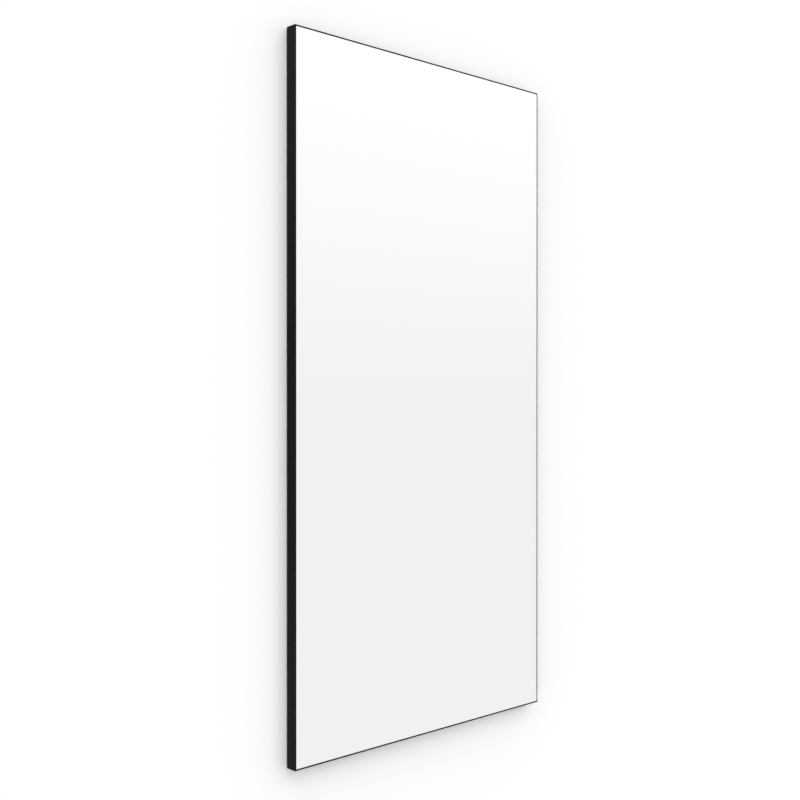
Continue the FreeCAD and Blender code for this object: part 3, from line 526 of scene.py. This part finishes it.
def makeRivets():
    # Flush heads in front with the dimple of the setting tool; those of the brackets are domed behind.
    flush = {"shank": 2.0, "head": 2.8, "sink": 0.8, "corner": 0.1, "land": 0.05}
    dimple = {"rim": 0.9, "wall": 0.6, "bottom": 0.2, "fall": 0.1, "deep": 0.35}
    dome = {"radius": 3.2, "high": 0.8, "rise": ((0.45, 0.06), (0.75, 0.2), (0.94, 0.45))}
    for node in ("runner_rivets", "bracket_rivets"):
        mesh = bmesh.new()
        for low, high in solidBoxes(node):
            centre = Vector(((low.x + high.x) / 2, high.y, (low.z + high.z) / 2))
            length = (high.y - low.y) / mm
            if node == "runner_rivets":
                rear = [(0, 0), (flush["shank"], 0)]
            else:
                rear = [(0, 0)] + [(share * dome["radius"], height) for share, height in dome["rise"]]
                rear += [(dome["radius"], dome["high"]), (flush["shank"], dome["high"])]
            front = [(flush["shank"], length - flush["sink"]), (flush["head"], length - flush["land"]),
                     (flush["head"] - flush["corner"], length), (dimple["rim"], length),
                     (dimple["wall"], length - dimple["fall"]), (dimple["bottom"], length - dimple["deep"]),
                     (0, length - dimple["deep"])]
            profile = [(radius * mm, height * mm) for radius, height in rear + front]
            lathe(mesh, profile, centre, Vector((0, -1, 0)))
        makePiece(mesh, node)


def makeSpringPins():
    # Rolled from strip, so each has a slot along it and chamfered ends.
    pin = {"wall": 0.25, "chamfer": 0.2, "lead": 0.1, "turn": 325, "steps": 26}
    direction = Vector((0, -1, 0))
    mesh = bmesh.new()
    for low, high in solidBoxes("spring_pins"):
        radius, length = (high.x - low.x) / 2 / mm, (high.y - low.y) / mm
        centre = Vector(((low.x + high.x) / 2, high.y, (low.z + high.z) / 2))
        inside, lead = radius - pin["wall"], radius - pin["lead"]
        section = [(inside, 0), (inside, length), (lead, length), (radius, length - pin["chamfer"]),
                   (radius, pin["chamfer"]), (lead, 0)]
        place = placeAlong(centre, direction)
        face = mesh.faces.new([mesh.verts.new(place @ Vector((r * mm, 0, h * mm))) for r, h in section])
        bmesh.ops.spin(mesh, geom=[face], cent=centre, axis=direction, angle=math.radians(pin["turn"]),
                       steps=pin["steps"])
    makePiece(mesh, "spring_pins")


def makeRodClips():
    # Snap rings: three lobes grip the rod, and the mouth lets the ring be pushed on from the side.
    clip = {"mouth": 38, "grip": 3.02, "relief": 3.75, "lobe": 16, "lobes": (62, 180, 298), "mouthWay": 200,
            "steps": 72}
    mesh = bmesh.new()
    for low, high in solidBoxes("rod_clips"):
        centre = Vector(((low.x + high.x) / 2, (low.y + high.y) / 2, low.z))
        radius = (high.x - low.x) / 2 / mm
        start, end = clip["mouth"], 360 - clip["mouth"]
        angles = [start + (end - start) * step / clip["steps"] for step in range(clip["steps"] + 1)]
        outline = [(radius, angle) for angle in angles]
        for angle in reversed(angles):
            gripping = any(abs(angle - lobe) < clip["lobe"] for lobe in clip["lobes"])
            outline.append((clip["grip"] if gripping else clip["relief"], angle))
        bottom, top = [], []
        for reach, angle in outline:
            turned = math.radians(angle + clip["mouthWay"])
            point = centre + reach * mm * Vector((math.cos(turned), math.sin(turned), 0))
            bottom.append(mesh.verts.new(point))
            top.append(mesh.verts.new((point.x, point.y, high.z)))
        mesh.faces.new(bottom)
        mesh.faces.new(top)
        for step in range(len(outline)):
            mesh.faces.new((bottom[step - 1], bottom[step], top[step], top[step - 1]))
    makePiece(mesh, "rod_clips", 0.06, segments=1)


def makeGlides():
    # Felt pads: cut edges a little ragged and the face softly uneven.
    pad = {"ragged": 0.1, "uneven": 0.06, "rim": 0.35, "rings": 8, "steps": 48, "fibres": 2200, "seed": 1}
    mesh = bmesh.new()
    for low, high in solidBoxes("rear_glides"):
        centre = Vector(((low.x + high.x) / 2, low.y, (low.z + high.z) / 2))
        radius = (high.x - low.x) / 2 / mm - pad["ragged"]
        thick = (high.y - low.y) / mm - pad["uneven"]
        rim = pad["rim"] / 3
        profile = [(0, 0.0), (radius, 0.0), (radius, thick - pad["rim"]), (radius - rim, thick - rim)]
        profile += [(radius * ring / pad["rings"], thick) for ring in reversed(range(pad["rings"]))]
        profile = [(reach * mm, height * mm) for reach, height in profile]
        lathe(mesh, profile, centre, Vector((0, 1, 0)), steps=pad["steps"])
    reach = Vector((pad["ragged"], pad["uneven"], pad["ragged"])) * mm / 2
    noise.seed_set(pad["seed"])
    for vert in mesh.verts:
        wobble = noise.noise_vector(vert.co * pad["fibres"])
        vert.co += reach * Vector((wobble.x, abs(wobble.y), wobble.z))
    makePiece(mesh, "rear_glides", smoothAngle=60)


def makePieces():
    makeRoundedCopies()
    makeStripPieces()
    makeScrews()
    makeRivets()
    makeSpringPins()
    makeRodClips()
    makeGlides()
    for node in nodes:
        dressNode(node)


makePieces()
print("pieces made")


# Stage

def makeSheetMaterial(name, colour):
    # Plain and matt in front, and clear from behind.
    material = bpy.data.materials.new(name)
    material.use_nodes = True
    tree = material.node_tree
    shader = tree.nodes["Principled BSDF"]
    shader.inputs["Base Color"].default_value = colour
    shader.inputs["Roughness"].default_value = 1.0
    shader.inputs["Specular IOR Level"].default_value = 0.0
    behind = addNode(tree, "NewGeometry").outputs["Backfacing"]
    clear = addNode(tree, "BsdfTransparent").outputs[0]
    shown = addNode(tree, "MixShader", {0: behind, 1: shader.outputs[0], 2: clear}).outputs[0]
    tree.links.new(shown, tree.nodes["Material Output"].inputs["Surface"])
    return material


def makeStage():
    # A pale wall in the place of the closet's side, and a floor. Only the camera sees them.
    stage = {"wall": (90.0, 40.0), "wallBehind": 0.4 * mm, "white": (0.99, 0.99, 0.99, 1), "floor": 90.0,
             "floorDrop": 1.1, "pale": (0.66, 0.66, 0.655, 1)}
    wall = bmesh.new()
    bmesh.ops.create_grid(wall, x_segments=1, y_segments=1, size=0.5)
    place = Matrix.Translation((0, stage["wallBehind"], stage["wall"][1] / 2 - stage["floorDrop"]))
    bmesh.ops.transform(wall, matrix=place @ Matrix.Rotation(math.radians(90), 4, "X")
                        @ Matrix.Diagonal((*stage["wall"], 1, 1)), verts=wall.verts)
    floor = bmesh.new()
    bmesh.ops.create_grid(floor, x_segments=1, y_segments=1, size=stage["floor"] / 2)
    bmesh.ops.translate(floor, vec=(0, 0, -stage["floorDrop"]), verts=floor.verts)
    for name, mesh, colour in (("sidePanel", wall, stage["white"]), ("floor", floor, stage["pale"])):
        data = bpy.data.meshes.new(name)
        mesh.to_mesh(data)
        mesh.free()
        sheet = bpy.data.objects.new(name, data)
        bpy.context.scene.collection.objects.link(sheet)
        sheet.visible_diffuse = sheet.visible_glossy = sheet.visible_shadow = False
        data.materials.append(makeSheetMaterial(name, colour))


def makeWorld():
    # A soft room, lit from the ceiling and the sides, more from the left. Mirror and metal see a pale
    # horizon in front, a darker one behind, and the bright ceiling.
    light = {"level": 0.784, "overhead": 0.76, "sides": 0.54, "left": 0.31}
    seen = {"front": (0.889, 1.02), "frontSlope": (0.0, 0.38), "behind": (0.4, 0.6),
            "behindHeight": (0.05, 0.32), "rearFrom": (-0.02, 0.2), "ceiling": (0.0, 0.9),
            "ceilingHeight": (0.5, 0.95)}
    world = bpy.data.worlds.new("studio")
    bpy.context.scene.world = world
    world.use_nodes = True
    tree = world.node_tree
    tree.nodes.clear()

    def sums(operation, *values):
        return addNode(tree, "Math", dict(enumerate(values)), operation=operation).outputs[0]

    direction = addNode(tree, "TexCoord").outputs["Generated"]
    way = addNode(tree, "SeparateXYZ", {"Vector": direction}).outputs
    across, along, upward = way["X"], way["Y"], way["Z"]
    above = sums("MULTIPLY_ADD", upward, light["overhead"], light["level"])
    beside = sums("MULTIPLY_ADD", sums("ABSOLUTE", across), light["sides"], above)
    shading = sums("MULTIPLY_ADD", across, -light["left"], beside)
    slope = sums("DIVIDE", upward, sums("ABSOLUTE", along))
    front = spread(tree, slope, *seen["front"], *seen["frontSlope"])
    behind = spread(tree, sums("ABSOLUTE", upward), *seen["behind"], *seen["behindHeight"])
    rear = spread(tree, along, 0.0, 1.0, *seen["rearFrom"])
    around = addNode(tree, "Mix", {0: rear, 2: front, 3: behind}).outputs[0]
    reflected = sums("ADD", around, spread(tree, upward, *seen["ceiling"], *seen["ceilingHeight"]))
    ray = addNode(tree, "LightPath").outputs
    shown = addNode(tree, "Mix", {0: ray["Is Glossy Ray"], 2: shading, 3: reflected}).outputs[0]
    strength = addNode(tree, "Mix", {0: ray["Is Camera Ray"], 2: shown, 3: 1.0}).outputs[0]
    background = addNode(tree, "Background", {"Color": (1, 1, 1, 1), "Strength": strength}).outputs[0]
    output = addNode(tree, "OutputWorld", {"Surface": background})
    output.is_active_output = True


def makeCamera():
    # At eye level with the middle of the mirror, to its left and turned towards it.
    shot = {"place": (-1.1589, -1.2046, 0.0007), "pitch": -0.133, "turn": -42.9, "lens": 50, "sensor": 36}
    data = bpy.data.cameras.new("camera")
    data.lens = shot["lens"]
    data.sensor_width = shot["sensor"]
    camera = bpy.data.objects.new("camera", data)
    camera.location = shot["place"]
    camera.rotation_euler = [math.radians(angle) for angle in (90 + shot["pitch"], 0, shot["turn"])]
    bpy.context.scene.collection.objects.link(camera)
    bpy.context.scene.camera = camera


makeStage()
makeWorld()
makeCamera()
bpy.context.scene.view_settings.view_transform = "Standard"
print("stage, light and camera made")
